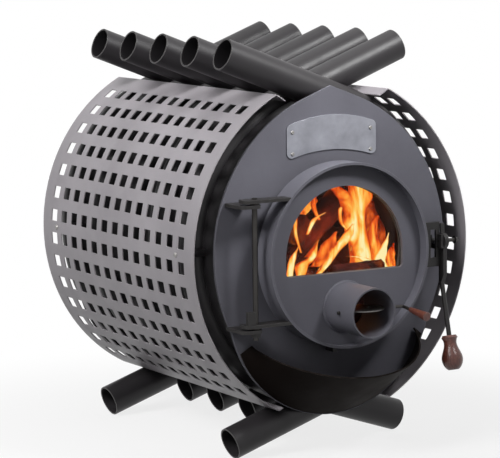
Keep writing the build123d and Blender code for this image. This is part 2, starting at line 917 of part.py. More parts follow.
with BuildPart() as throttle_grip:
    with BuildSketch(throttle_plane):
        with BuildLine():
            Polyline(
                (axle_right, grip_start),
                (axle_right + throttle_grip_neck_radius, grip_start),
                (axle_right + throttle_grip_end_radius, grip_end),
                (axle_right, grip_end),
                close=True,
            )
        make_face()
    revolve(
        axis=Axis(
            throttle_plane.from_local_coords((axle_right, 0, 0)),
            (0, -math.cos(droop), -math.sin(droop)),
        )
    )
    fillet(throttle_grip.edges().filter_by(GeomType.CIRCLE), radius=throttle_grip_round)
    grip_mouth = throttle_plane.from_local_coords((axle_right, grip_start, 0))
    with BuildSketch(Plane(origin=grip_mouth, z_dir=(0, -math.cos(droop), -math.sin(droop)))):
        Circle(axle_radius + grip_fit)
    extrude(amount=throttle_rod_bite + grip_fit, mode=Mode.SUBTRACT)
save(throttle_grip.part, "throttle_grip")

# door arms that turn on the hinge rod, and the block on the lower arm
for arm_name, over_arm_z in (("door_arm_upper", upper_arm_z), ("door_arm_lower", lower_arm_z)):
    with BuildPart() as door_arm:
        with BuildSketch(level_plane(over_arm_z - arm_thickness / 2)) as arm_sketch:
            with BuildLine():
                Polyline(
                    (arm_left, plate_face - arm_rear_reach),
                    (arm_left, plate_face - rim_front_reach),
                    (hinge_x / 2, plate_face - rim_front_reach),
                    (hinge_x / 2, plate_face - arm_rear_reach),
                    close=True,
                )
            make_face()
            fillet(arm_sketch.vertices().sort_by(Axis.X)[:2], radius=arm_corner)
            with Locations((hinge_x, plate_face - hinge_reach)):
                Circle(hinge_rod_radius + hinge_clearance, mode=Mode.SUBTRACT)
        extrude(amount=arm_thickness)
        with BuildSketch(door_plane(0)):
            Circle(rim_radius + arm_weld)
        extrude(amount=2 * rim_front_reach, mode=Mode.SUBTRACT)
    save(door_arm.part, arm_name)

with BuildPart() as door_arm_block:
    with BuildSketch(level_plane(lower_arm_z + arm_thickness / 2 + stack_gap)):
        with Locations((block_left + block_width / 2, plate_face - block_front_reach + block_depth / 2)):
            Rectangle(block_width, block_depth)
    extrude(amount=block_height)
save(door_arm_block.part, "door_arm_block")

# latch bracket: a slit plate on the rim with a cheek that holds the latch pin
with BuildPart() as latch_bracket:
    with BuildSketch(front_plane(bracket_reach)):
        with BuildLine():
            Polyline(
                (bracket_root, bracket_bottom),
                (bracket_right, bracket_bottom),
                (bracket_right, bracket_top),
                (bracket_root, bracket_top),
                close=True,
            )
        make_face()
        with Locations(((slit_left + slit_right) / 2, (slit_top + slit_bottom) / 2)):
            Rectangle(slit_right - slit_left, slit_top - slit_bottom, mode=Mode.SUBTRACT)
    extrude(amount=-bracket_thickness)
    with BuildSketch(side_plane(bracket_right)):
        with BuildLine():
            Polyline(
                (-bracket_reach + bracket_thickness, cheek_bottom),
                (-cheek_reach, cheek_bottom),
                (-cheek_reach, cheek_top),
                (-bracket_reach + bracket_thickness, cheek_top),
                close=True,
            )
        make_face()
    extrude(amount=-cheek_thickness)
    with BuildSketch(side_plane(bracket_right)):
        with Locations((-latch_reach, latch_z)):
            Circle(latch_pin_radius + hinge_fit)
    extrude(amount=-cheek_thickness, mode=Mode.SUBTRACT)
    with BuildSketch(door_plane(0)):
        Circle(rim_radius + arm_weld)
    extrude(amount=2 * rim_front_reach, mode=Mode.SUBTRACT)
save(latch_bracket.part, "latch_bracket")

with BuildPart() as latch_pin:
    with BuildSketch(side_plane(bracket_right - cheek_thickness)):
        with Locations((-latch_reach, latch_z)):
            Circle(latch_pin_radius)
    extrude(amount=latch_pin_right - bracket_right + cheek_thickness)
    with BuildSketch(side_plane(latch_pin_right)):
        with Locations((-latch_reach, latch_z)):
            Circle(latch_head_radius)
    extrude(amount=latch_head_height, taper=screw_head_taper)
save(latch_pin.part, "latch_pin")

# latch lever: a flat bar with an arm under the keeper's peg and a round rod into the grip
lean = math.radians(lever_lean)
lever_middle = lever_left + lever_thickness / 2
lever_front = -latch_reach - lever_half_width
lever_rear = -latch_reach + lever_half_width
rod_start = Vector(
    lever_middle,
    plate_face + lever_rear - lever_rod_radius,
    axis_height + lever_rod_top,
)
rod_way = Vector(0, -math.sin(lean), -math.cos(lean))
grip_top_run = (lever_rod_top - latch_grip_top) / math.cos(lean)
with BuildPart() as latch_lever:
    with BuildSketch(side_plane(lever_left)):
        with Locations((-latch_reach, latch_z)):
            Circle(lever_eye_radius)
        with BuildLine():
            Polyline(
                (lever_front, latch_z),
                (lever_front, lever_bar_bottom),
                (lever_front + lever_neck_shift, lever_neck_bottom),
                (lever_rear, lever_neck_bottom),
                (lever_rear, latch_z),
                close=True,
            )
        make_face()
        with BuildLine():
            Polyline(
                (-latch_reach, lever_arm_top - lever_arm_depth),
                (-lever_arm_reach, lever_arm_top - lever_arm_depth),
                (-lever_arm_reach, lever_arm_top),
                (-latch_reach, lever_arm_top),
                close=True,
            )
        make_face()
        with BuildLine():
            Polyline(
                (-latch_reach - lever_horn_width / 2, latch_z + latch_pin_radius),
                (-latch_reach - lever_horn_width / 2 + lever_horn_shift, latch_z + lever_horn_height),
                (-latch_reach + lever_horn_width / 2 + lever_horn_shift, latch_z + lever_horn_height),
                (-latch_reach + lever_horn_width / 2, latch_z + latch_pin_radius),
                close=True,
            )
        make_face()
        with Locations((-latch_reach, latch_z)):
            Circle(latch_pin_radius + latch_clearance, mode=Mode.SUBTRACT)
    extrude(amount=lever_thickness)
    with BuildSketch(Plane(origin=rod_start, z_dir=rod_way)):
        Circle(lever_rod_radius)
    extrude(amount=grip_top_run + latch_grip_bite)
save(latch_lever.part, "latch_lever")

# pear-shaped wooden grip on the lever's rod
grip_top_point = rod_start + rod_way * grip_top_run
grip_plane = Plane(origin=grip_top_point, x_dir=(1, 0, 0), z_dir=(0, -math.cos(lean), math.sin(lean)))
with BuildPart() as latch_grip:
    with BuildSketch(grip_plane):
        with BuildLine():
            grip_side = Spline(
                (latch_collar_radius, -latch_collar_drop),
                (latch_neck_radius, -latch_neck_drop),
                (latch_swell_radius, -latch_swell_drop),
                (latch_bulb_radius, -latch_bulb_drop),
                (latch_shoulder_radius, -latch_shoulder_drop),
                (latch_heel_radius, -latch_heel_drop),
                (latch_foot_radius, -latch_grip_length),
            )
            Polyline(
                grip_side @ 0,
                (latch_top_radius, 0),
                (0, 0),
                (0, -latch_grip_length),
                grip_side @ 1,
            )
        make_face()
    revolve(axis=Axis(grip_top_point, rod_way))
    with BuildSketch(Plane(origin=grip_top_point, z_dir=rod_way)):
        Circle(lever_rod_radius + grip_fit)
    extrude(amount=latch_grip_bite + grip_fit, mode=Mode.SUBTRACT)
save(latch_grip.part, "latch_grip")

# flue collar with its two axle holes and the stop ring of the flue pipe
damper_y = body_depth + damper_setback
with BuildPart() as flue_collar:
    with BuildSketch(front_plane(-body_depth)):
        with Locations((0, flue_z)):
            Circle(flue_radius)
            Circle(flue_radius - flue_wall, mode=Mode.SUBTRACT)
    extrude(amount=-flue_length)
    with BuildSketch(front_plane(-body_depth - flue_stop_setback)):
        with Locations((0, flue_z)):
            Circle(flue_radius + flue_stop_height)
            Circle(flue_radius - flue_wall, mode=Mode.SUBTRACT)
    extrude(amount=-flue_stop_width)
    with BuildSketch(side_plane(0)):
        with Locations((damper_y, flue_z)):
            Circle(damper_axle_radius + axle_clearance)
    extrude(amount=2 * flue_radius, both=True, mode=Mode.SUBTRACT)
save(flue_collar.part, "flue_collar")

# damper: axle, plate, screws and flat handle
damper_seat = damper_axle_radius + stack_gap + damper_thickness + stack_gap
with BuildPart() as damper_axle:
    with BuildSketch(side_plane(-damper_left)):
        with Locations((damper_y, flue_z)):
            Circle(damper_axle_radius)
    extrude(amount=damper_left + damper_right)
    with BuildSketch(level_plane(flue_z + damper_seat)):
        with Locations((0, plate_face + damper_y)):
            with GridLocations(damper_screw_pitch, damper_axle_radius, 2, 1):
                Circle(damper_screw_radius + screw_fit)
    extrude(amount=damper_axle_radius - damper_seat - damper_screw_bite, mode=Mode.SUBTRACT)
save(damper_axle.part, "damper_axle")

with BuildPart() as damper_plate:
    with BuildSketch(level_plane(flue_z + damper_axle_radius + stack_gap)):
        with Locations((0, plate_face + damper_y)):
            Circle(damper_radius)
            with GridLocations(damper_screw_pitch, damper_axle_radius, 2, 1):
                Circle(damper_screw_radius + screw_fit, mode=Mode.SUBTRACT)
    extrude(amount=damper_thickness)
save(damper_plate.part, "damper_plate")

with BuildPart() as damper_screws:
    for screw_x in (-damper_screw_pitch / 2, damper_screw_pitch / 2):
        damper_screw_plane = Plane(
            origin=(screw_x, plate_face + damper_y, axis_height + flue_z + damper_seat),
            x_dir=(1, 0, 0),
            z_dir=(0, 0, 1),
        )
        round_screw(
            damper_screw_plane,
            damper_screw_radius,
            damper_seat - damper_axle_radius + damper_screw_bite,
            damper_screw_head_radius,
            damper_screw_head_height,
        )
save(damper_screws.part, "damper_screws")

with BuildPart() as damper_handle:
    with BuildSketch(side_plane(damper_right - handle_thickness)):
        with Locations((damper_y, flue_z)):
            with Locations(((handle_length - handle_width) / 2, 0)):
                SlotOverall(handle_length, handle_width)
            Circle(damper_axle_radius + hinge_fit, mode=Mode.SUBTRACT)
    extrude(amount=handle_thickness)
save(damper_handle.part, "damper_handle")
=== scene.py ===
import math
import random

import bpy
import bmesh
from mathutils import Matrix, Vector, noise


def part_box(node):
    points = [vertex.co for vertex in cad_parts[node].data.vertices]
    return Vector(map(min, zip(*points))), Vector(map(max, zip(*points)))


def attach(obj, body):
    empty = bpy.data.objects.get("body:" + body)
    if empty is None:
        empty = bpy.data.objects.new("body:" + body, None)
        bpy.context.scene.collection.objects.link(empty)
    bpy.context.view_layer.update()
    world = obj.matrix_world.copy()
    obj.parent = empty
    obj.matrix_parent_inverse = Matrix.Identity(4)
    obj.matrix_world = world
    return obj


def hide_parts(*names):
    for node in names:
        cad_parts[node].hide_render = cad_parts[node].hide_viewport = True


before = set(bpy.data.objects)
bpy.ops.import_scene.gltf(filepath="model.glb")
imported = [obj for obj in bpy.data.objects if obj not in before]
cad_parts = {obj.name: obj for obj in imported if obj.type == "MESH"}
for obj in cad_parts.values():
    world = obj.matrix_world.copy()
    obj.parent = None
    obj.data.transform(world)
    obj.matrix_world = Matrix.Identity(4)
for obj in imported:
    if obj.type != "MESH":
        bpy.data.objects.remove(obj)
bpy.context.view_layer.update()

MM = 0.001
DOOR_DROP = 6.2 * MM         # the door's centre lies this far below the drum's axis
WALL_OFFSET = 50.0           # each side's wall is an arc whose centre lies this far past the middle, in mm
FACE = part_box("front_plate")[0].y    # front face of the front plate
AXIS = (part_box("door_rim")[0].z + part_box("door_rim")[1].z) / 2 + DOOR_DROP    # height of the drum's axis
DOOR_Z = AXIS - DOOR_DROP


def at(x, reach, z):
    """Point in metres from millimetres: x, reach ahead of the front plate, height above the drum's axis."""
    return Vector((x * MM, FACE - reach * MM, AXIS + z * MM))


# node helpers
def material(name, metallic=0.0, roughness=0.5):
    mat = bpy.data.materials.new(name)
    mat.use_nodes = True
    tree = mat.node_tree
    shader = tree.nodes["Principled BSDF"]
    shader.inputs["Metallic"].default_value = metallic
    shader.inputs["Roughness"].default_value = roughness
    return mat, tree, shader


def link(tree, source, target):
    tree.links.new(source, target)


def coords(tree, scale=(1, 1, 1)):
    tex = tree.nodes.new("ShaderNodeTexCoord")
    mapping = tree.nodes.new("ShaderNodeMapping")
    mapping.inputs["Scale"].default_value = scale
    link(tree, tex.outputs["Object"], mapping.inputs["Vector"])
    return mapping.outputs["Vector"]


def noise_node(tree, vector, scale, detail=3.0, rough=0.55, distortion=0.0):
    node = tree.nodes.new("ShaderNodeTexNoise")
    node.inputs["Scale"].default_value = scale
    node.inputs["Detail"].default_value = detail
    node.inputs["Roughness"].default_value = rough
    node.inputs["Distortion"].default_value = distortion
    link(tree, vector, node.inputs["Vector"])
    return node.outputs["Fac"]


def ramp(tree, value, stops):
    node = tree.nodes.new("ShaderNodeValToRGB")
    while len(node.color_ramp.elements) < len(stops):
        node.color_ramp.elements.new(0.5)
    for element, (position, color) in zip(node.color_ramp.elements, stops):
        element.position = position
        element.color = (*color, 1.0) if len(color) == 3 else color
    link(tree, value, node.inputs["Fac"])
    return node.outputs["Color"]


def grey(v):
    return (v, v, v)


def mix(tree, factor, first, second, blend="MIX"):
    node = tree.nodes.new("ShaderNodeMix")
    node.data_type = "RGBA"
    node.blend_type = blend
    for socket, value in ((node.inputs[0], factor), (node.inputs[6], first), (node.inputs[7], second)):
        if isinstance(value, (int, float)):
            socket.default_value = value
        elif isinstance(value, tuple):
            socket.default_value = (*value, 1.0)
        else:
            link(tree, value, socket)
    return node.outputs[2]


def math_node(tree, operation, first, second=None):
    node = tree.nodes.new("ShaderNodeMath")
    node.operation = operation
    for socket, value in ((node.inputs[0], first), (node.inputs[1], second)):
        if value is None:
            continue
        if isinstance(value, (int, float)):
            socket.default_value = value
        else:
            link(tree, value, socket)
    return node.outputs[0]


def spread(tree, value, low, high):
    """Value from 0..1 to low..high."""
    node = tree.nodes.new("ShaderNodeMapRange")
    node.inputs["From Min"].default_value = 0.25
    node.inputs["From Max"].default_value = 0.75
    node.inputs["To Min"].default_value = low
    node.inputs["To Max"].default_value = high
    link(tree, value, node.inputs["Value"])
    return node.outputs["Result"]


def height_fade(tree, start, end):
    """0 at the start height and 1 at the end height, both in millimetres from the drum's axis."""
    geometry = tree.nodes.new("ShaderNodeNewGeometry")
    split = tree.nodes.new("ShaderNodeSeparateXYZ")
    link(tree, geometry.outputs["Position"], split.inputs[0])
    node = tree.nodes.new("ShaderNodeMapRange")
    node.interpolation_type = "SMOOTHSTEP"
    node.inputs["From Min"].default_value = AXIS + start * MM
    node.inputs["From Max"].default_value = AXIS + end * MM
    link(tree, split.outputs["Z"], node.inputs["Value"])
    return node.outputs["Result"]


def bump(tree, shader, heights, soft=True):
    """Chain of bumps on the shader's normal. heights is a list of value, distance in metres, strength."""
    normal = None
    if soft:
        bevel = tree.nodes.new("ShaderNodeBevel")
        bevel.samples = 4
        bevel.inputs["Radius"].default_value = 0.0007
        normal = bevel.outputs["Normal"]
    for value, distance, strength in heights:
        node = tree.nodes.new("ShaderNodeBump")
        node.inputs["Distance"].default_value = distance
        node.inputs["Strength"].default_value = strength
        link(tree, value, node.inputs["Height"])
        if normal is not None:
            link(tree, normal, node.inputs["Normal"])
        normal = node.outputs["Normal"]
    link(tree, normal, shader.inputs["Normal"])


def edge_mask(tree, radius=0.0022, low=0.03, high=0.25):
    """1 near the outer edges of a piece, 0 on its faces."""
    bevel = tree.nodes.new("ShaderNodeBevel")
    bevel.samples = 6
    bevel.inputs["Radius"].default_value = radius
    geometry = tree.nodes.new("ShaderNodeNewGeometry")
    dot = tree.nodes.new("ShaderNodeVectorMath")
    dot.operation = "DOT_PRODUCT"
    link(tree, bevel.outputs["Normal"], dot.inputs[0])
    link(tree, geometry.outputs["Normal"], dot.inputs[1])
    rest = math_node(tree, "SUBTRACT", 1.0, dot.outputs["Value"])
    node = tree.nodes.new("ShaderNodeMapRange")
    node.inputs["From Min"].default_value = low
    node.inputs["From Max"].default_value = high
    link(tree, rest, node.inputs["Value"])
    return node.outputs["Result"]


def paint(name, color, rub_and_highlight_color, roughness=(0.42, 0.58), grain=0.10, rub_and_highlight=0.5, top_light=None, gloss=0.3):
    """Heat-proof paint: mottled colour, fine grain, lighter edges that are partly rubbed paint and partly a
    painted highlight, and painted light on upward faces.
    """
    mat, tree, shader = material(name)
    shader.inputs["Specular IOR Level"].default_value = gloss
    where = coords(tree)
    broad = noise_node(tree, where, 7.0, 4.0)
    fine = noise_node(tree, where, 420.0, 3.0, 0.7)
    light = tuple(c * 1.22 + 0.002 for c in color)
    dark = tuple(c * 0.80 for c in color)
    body = mix(tree, spread(tree, broad, 0.1, 0.9), dark, light)
    body = mix(tree, math_node(tree, "MULTIPLY", fine, 0.18), body, tuple(c * 1.6 + 0.006 for c in color))
    # lighter edges: partly rubbed paint, partly a painted highlight along every edge
    patchy = noise_node(tree, where, 46.0, 4.0, 0.7)
    rub_and_highlight_mask = math_node(tree, "MULTIPLY", edge_mask(tree), spread(tree, patchy, 0.0, rub_and_highlight * 1.6))
    body = mix(tree, rub_and_highlight_mask, body, rub_and_highlight_color)
    # painted light from above: faces that point up are mixed towards a lighter colour, in broad patches
    if top_light:
        geometry = tree.nodes.new("ShaderNodeNewGeometry")
        split = tree.nodes.new("ShaderNodeSeparateXYZ")
        link(tree, geometry.outputs["Normal"], split.inputs[0])
        up = math_node(tree, "MAXIMUM", split.outputs["Z"], 0.0)
        up = math_node(tree, "MULTIPLY", up, spread(tree, broad, 0.05, 0.32))
        body = mix(tree, up, body, top_light)
    link(tree, body, shader.inputs["Base Color"])
    rough = spread(tree, noise_node(tree, where, 22.0, 5.0, 0.6), *roughness)
    link(tree, rough, shader.inputs["Roughness"])
    bump(tree, shader, [(fine, 0.0004, grain), (noise_node(tree, where, 60.0, 2.0), 0.0012, grain * 0.6)])
    return mat


def steel(name, color, roughness=(0.28, 0.45), scratch=0.12):
    """Plain steel with fine scratches, slightly darkened."""
    mat, tree, shader = material(name, metallic=1.0)
    where = coords(tree)
    broad = noise_node(tree, where, 30.0, 4.0)
    lines = noise_node(tree, coords(tree, (3.0, 3.0, 60.0)), 60.0, 4.0, 0.7)
    dark = tuple(c * 0.72 for c in color)
    light = tuple(c * 1.12 for c in color)
    body = mix(tree, spread(tree, broad, 0.0, 1.0), dark, light)
    body = mix(tree, math_node(tree, "MULTIPLY", lines, 0.25), body, tuple(c * 0.5 for c in color))
    link(tree, body, shader.inputs["Base Color"])
    link(tree, spread(tree, lines, *roughness), shader.inputs["Roughness"])
    bump(tree, shader, [(lines, 0.0003, scratch)])
    return mat


def wood(name):
    """Stained and varnished turned wood, grain along the piece's Z."""
    mat, tree, shader = material(name)
    where = coords(tree, (1.0, 1.0, 0.16))
    wave = tree.nodes.new("ShaderNodeTexWave")
    wave.wave_type = "RINGS"
    wave.rings_direction = "X"
    wave.inputs["Scale"].default_value = 95.0
    wave.inputs["Distortion"].default_value = 5.0
    wave.inputs["Detail"].default_value = 3.0
    wave.inputs["Detail Scale"].default_value = 2.4
    link(tree, where, wave.inputs["Vector"])
    fibre = noise_node(tree, coords(tree, (1.0, 1.0, 0.06)), 900.0, 3.0, 0.7)
    body = ramp(tree, wave.outputs["Fac"], [
        (0.0, (0.118, 0.032, 0.022)),
        (0.5, (0.142, 0.042, 0.029)),
        (1.0, (0.172, 0.055, 0.038)),
    ])
    body = mix(tree, math_node(tree, "MULTIPLY", fibre, 0.16), body, (0.065, 0.020, 0.013))
    link(tree, body, shader.inputs["Base Color"])
    link(tree, spread(tree, fibre, 0.26, 0.42), shader.inputs["Roughness"])
    shader.inputs["Coat Weight"].default_value = 0.2
    shader.inputs["Coat Roughness"].default_value = 0.22
    bump(tree, shader, [(fibre, 0.0003, 0.2), (wave.outputs["Fac"], 0.0004, 0.12)], soft=False)
    return mat


def rope(name):
    """Woven ceramic rope."""
    mat, tree, shader = material(name, roughness=0.95)
    where = coords(tree)
    thread = noise_node(tree, where, 900.0, 2.0)
    dirt = noise_node(tree, where, 25.0, 4.0)
    body = ramp(tree, dirt, [(0.3, (0.09, 0.083, 0.075)), (0.75, (0.34, 0.32, 0.28))])
    body = mix(tree, math_node(tree, "MULTIPLY", thread, 0.5), body, (0.12, 0.11, 0.10))
    link(tree, body, shader.inputs["Base Color"])
    shader.inputs["Sheen Weight"].default_value = 0.3
    shader.inputs["Sheen Roughness"].default_value = 0.5
    bump(tree, shader, [(thread, 0.0006, 0.6)], soft=False)
    return mat


def clear_glass(name):
    mat, tree, shader = material(name)
    shader.inputs["Specular IOR Level"].default_value = 0.3
    shader.inputs["Base Color"].default_value = (0.98, 0.98, 0.97, 1.0)
    shader.inputs["Transmission Weight"].default_value = 1.0
    shader.inputs["IOR"].default_value = 1.12
    where = coords(tree)
    smear = noise_node(tree, where, 14.0, 5.0, 0.65, 1.5)
    link(tree, spread(tree, smear, 0.0, 0.02), shader.inputs["Roughness"])
    # light passes straight through, so that the fire shows and lights the front
    out = tree.nodes["Material Output"]
    path = tree.nodes.new("ShaderNodeLightPath")
    clear = tree.nodes.new("ShaderNodeBsdfTransparent")
    choose = tree.nodes.new("ShaderNodeMixShader")
    link(tree, path.outputs["Is Shadow Ray"], choose.inputs[0])
    link(tree, shader.outputs[0], choose.inputs[1])
    link(tree, clear.outputs[0], choose.inputs[2])
    link(tree, choose.outputs[0], out.inputs["Surface"])
    return mat


# the stove's black paint, with a painted highlight on its edges (partly rubbed paint) and painted light on
# its upward faces
body_paint = paint("stove_black", (0.0195, 0.0176, 0.0196), (0.20, 0.19, 0.185), (0.37, 0.50), rub_and_highlight=0.75,
                   top_light=(0.040, 0.037, 0.038), gloss=0.34)
front_paint = paint("front_grey", (0.136, 0.134, 0.158), (0.28, 0.28, 0.30), (0.40, 0.52), grain=0.08,
                    gloss=0.2)
panel_paint = paint("panel_grey", (0.325, 0.304, 0.325), (0.55, 0.53, 0.54), (0.36, 0.5), grain=0.05,
                    rub_and_highlight=0.45)
# painted shade: the ash lip gets a darker, browner copy of the stove's black paint, standing for the shade
# under the down-facing lip
lip_painted_shade = paint("lip_painted_shade", (0.0065, 0.0042, 0.0034), (0.09, 0.08, 0.075), (0.55, 0.7), gloss=0.03)
arm_paint = paint("arm_paint", (0.019, 0.0175, 0.0175), (0.13, 0.125, 0.12), (0.36, 0.50), gloss=0.3)
pin_steel = steel("pin_steel", (0.34, 0.33, 0.32))
dark_steel = steel("dark_steel", (0.055, 0.052, 0.05), (0.42, 0.58))
lever_steel = steel("lever_steel", (0.17, 0.165, 0.16), (0.34, 0.5))
sign_metal = steel("sign_metal", (0.33, 0.335, 0.375), (0.38, 0.5), 0.05)
grip_wood = wood("grip_wood")
seal_rope = rope("seal_rope")
pane = clear_glass("window_pane")
screw_steel = steel("screw_steel", (0.16, 0.155, 0.15), (0.3, 0.45))

FINISH = {
    "front_plate": front_paint, "door_disc": front_paint, "air_spout": front_paint,
    "door_rim": front_paint, "latch_bracket": arm_paint, "latch_lever": arm_paint, "hinge_nut": arm_paint,
    "door_arm_upper": arm_paint, "door_arm_lower": arm_paint, "door_arm_block": arm_paint,
    "hinge_ear_upper": arm_paint, "hinge_ear_lower": arm_paint, "latch_keeper": arm_paint,
    "left_side_panel": panel_paint, "right_side_panel": panel_paint,
    "ash_lip": lip_painted_shade, "name_plate": sign_metal,
    "hinge_rod": dark_steel, "hinge_washers": dark_steel, "latch_pin": dark_steel,
    "throttle_axle": dark_steel, "throttle_plate": lever_steel,
    "damper_axle": lever_steel, "damper_handle": lever_steel, "damper_plate": lever_steel,
    "name_plate_rivets": pin_steel, "panel_screws": pin_steel, "glass_screws": screw_steel,
    "throttle_screws": screw_steel, "damper_screws": screw_steel,
    "throttle_grip": grip_wood, "latch_grip": grip_wood,
    "door_seal": seal_rope, "glass_gasket": seal_rope, "window_glass": pane,
}
for name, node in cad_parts.items():
    finish = FINISH.get(name, body_paint)
    node.data.materials.clear()
    node.data.materials.append(finish)

# pieces
def new_piece(name, verts, faces, mat, body, smooth=True):
    mesh = bpy.data.meshes.new(name)
    mesh.from_pydata(verts, [], faces)
    mesh.update()
    for polygon in mesh.polygons:
        polygon.use_smooth = smooth
    mesh.materials.append(mat)
    obj = bpy.data.objects.new(name, mesh)
    bpy.context.scene.collection.objects.link(obj)
    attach(obj, body)
    return obj


def bridge(rings, closed=False):
    """Faces between rings of equal length, given as lists of vertex numbers."""
    faces = []
    pairs = list(zip(rings, rings[1:] + rings[:1])) if closed else list(zip(rings, rings[1:]))
    for first, second in pairs:
        count = len(first)
        for k in range(count):
            faces.append((first[k], first[(k + 1) % count], second[(k + 1) % count], second[k]))
    return faces


def smooth_path(points, steps):
    """Catmull-Rom points through the given ones."""
    ends = [points[0] * 2 - points[1], *points, points[-1] * 2 - points[-2]]
    found = []
    for i in range(1, len(ends) - 2):
        a, b, c, d = ends[i - 1:i + 3]
        for k in range(steps):
            t = k / steps
            found.append(0.5 * (2 * b + (c - a) * t + (2 * a - 5 * b + 4 * c - d) * t * t
                                + (3 * b - a - 3 * c + d) * t ** 3))
    found.append(points[-1])
    return found


def log_material(name):
    """Charred wood with a rough, cracked skin that glows in places."""
    mat, tree, shader = material(name, roughness=0.9)
    shader.inputs["Specular IOR Level"].default_value = 0.15
    where = coords(tree)
    cells = tree.nodes.new("ShaderNodeTexVoronoi")
    cells.feature = "DISTANCE_TO_EDGE"
    cells.inputs["Scale"].default_value = 95.0
    link(tree, where, cells.inputs["Vector"])
    ash = noise_node(tree, where, 34.0, 6.0, 0.7)
    body = ramp(tree, ash, [
        (0.40, (0.004, 0.002, 0.002)),
        (0.60, (0.018, 0.006, 0.005)),
        (0.8, (0.05, 0.03, 0.025)),
    ])
    link(tree, body, shader.inputs["Base Color"])
    hot = noise_node(tree, where, 21.0, 5.0, 0.62, 0.8)
    crack = ramp(tree, cells.outputs["Distance"], [(0.0, grey(1.0)), (0.03, grey(0.0))])
    amount = ramp(tree, hot, [(0.48, grey(0.02)), (0.70, grey(0.50))])
    amount = mix(tree, math_node(tree, "MULTIPLY", crack, 0.25), amount, grey(0.5))
    glow_color = ramp(tree, hot, [
        (0.38, (0.10, 0.006, 0.003)),
        (0.55, (0.40, 0.035, 0.008)),
        (0.72, (1.0, 0.24, 0.03)),
    ])
    link(tree, glow_color, shader.inputs["Emission Color"])
    amount = math_node(tree, "MULTIPLY", amount, height_fade(tree, -95, -55))
    link(tree, math_node(tree, "MULTIPLY", amount, 0.7), shader.inputs["Emission Strength"])
    bump(tree, shader, [(cells.outputs["Distance"], 0.004, 0.5), (ash, 0.003, 0.6)], soft=False)
    return mat


def ember_material(name):
    """Ash and coals, some of them glowing."""
    mat, tree, shader = material(name, roughness=0.95)
    shader.inputs["Specular IOR Level"].default_value = 0.15
    where = coords(tree)
    hot = noise_node(tree, where, 38.0, 3.0, 0.6)
    ash = noise_node(tree, where, 90.0, 4.0, 0.7)
    link(tree, ramp(tree, ash, [(0.35, (0.010, 0.008, 0.007)), (0.7, (0.055, 0.046, 0.042))]),
         shader.inputs["Base Color"])
    link(tree, ramp(tree, hot, [(0.44, (0.25, 0.012, 0.003)), (0.66, (0.9, 0.17, 0.025))]),
         shader.inputs["Emission Color"])
    link(tree, ramp(tree, hot, [(0.56, grey(0.0)), (0.76, grey(0.16))]), shader.inputs["Emission Strength"])
    bump(tree, shader, [(ash, 0.002, 0.6)], soft=False)
    return mat


def flame_material(name, stops, scale, strength):
    """Glow whose colour and cover follow the piece's own heat, broken up by drawn-out noise."""
    mat, tree, shader = material(name)
    heat = tree.nodes.new("ShaderNodeAttribute")
    heat.attribute_name = "burn"
    lick = noise_node(tree, coords(tree, (1.0, 0.6, 0.42)), scale, 2.0, 0.5, 2.6)
    wisp = noise_node(tree, coords(tree, (1.0, 0.6, 0.30)), scale * 2.3, 2.0, 0.5, 1.8)
    value = math_node(tree, "ADD", heat.outputs["Fac"], spread(tree, lick, -0.36, 0.30))
    value = math_node(tree, "ADD", value, spread(tree, wisp, -0.12, 0.10))
    glow = tree.nodes.new("ShaderNodeEmission")
    glow.inputs["Strength"].default_value = strength
    link(tree, ramp(tree, value, stops), glow.inputs["Color"])
    clear = tree.nodes.new("ShaderNodeBsdfTransparent")
    cover = tree.nodes.new("ShaderNodeMixShader")
    link(tree, ramp(tree, value, [(0.04, grey(0.0)), (0.20, grey(1.0))]), cover.inputs[0])
    link(tree, clear.outputs[0], cover.inputs[1])
    link(tree, glow.outputs[0], cover.inputs[2])
    link(tree, cover.outputs[0], tree.nodes["Material Output"].inputs["Surface"])
    return mat


def fire_point(x, y, z):
    """Point from millimetres: x, depth behind the front plate's face, height above the drum's axis."""
    return at(x, -y, z)


def inside_drum(point, radius=250.0):
    """The point, moved sideways to stay inside the drum's wall, which is just outside this radius."""
    height = (point.z - AXIS) / MM
    wall = max(0.0, math.sqrt(max(0.0, radius ** 2 - height ** 2)) - WALL_OFFSET) * MM
    return Vector((min(max(point.x, -wall), wall), point.y, point.z))


def make_log(name, start, end, radius, seed, mat):
    """Round log with bark ridges, a split flat and rough ends."""
    start, end = Vector(start), Vector(end)
    along = (end - start).normalized()
    side = along.cross(Vector((0, 0, 1))).normalized()
    over = side.cross(along)
    verts, rings = [], []
    stations, around = 26, 44
    for i in range(stations + 3):
        run = min(max(i - 1, 0), stations) / stations
        size = 0.0 if i in (0, stations + 2) else 1.0
        centre = start.lerp(end, run)
        centre = centre + over * 0.05 * radius * math.sin(3.1 * run + seed)
        ring = []
        for k in range(around):
            turn = 2 * math.pi * k / around
            way = side * math.cos(turn) + over * math.sin(turn)
            ridge = noise.noise(Vector((turn * 3.2 + seed * 7, run * 5.0, seed))) * 0.10
            ridge += noise.noise(Vector((turn * 9.0, run * 22.0 + seed, seed * 3))) * 0.05
            flat = max(0.0, math.cos(turn - 1.1 - seed) - 0.72) * 0.9
            r = radius * (1.0 + ridge - flat) * (0.35 if size == 0 else 1.0)
            jag = along * radius * 0.10 * noise.noise(Vector((turn * 2.0, seed, 4.0 * run)))
            bulge = along * (0.10 * radius) * (-1 if i == 0 else 1 if i == stations + 2 else 0)
            ring.append(len(verts))
            verts.append(inside_drum(centre + way * r + jag + bulge))
        rings.append(ring)
    faces = bridge(rings)
    faces.append(tuple(reversed(rings[0])))
    faces.append(tuple(rings[-1]))
    return new_piece(name, verts, faces, mat, "drum")


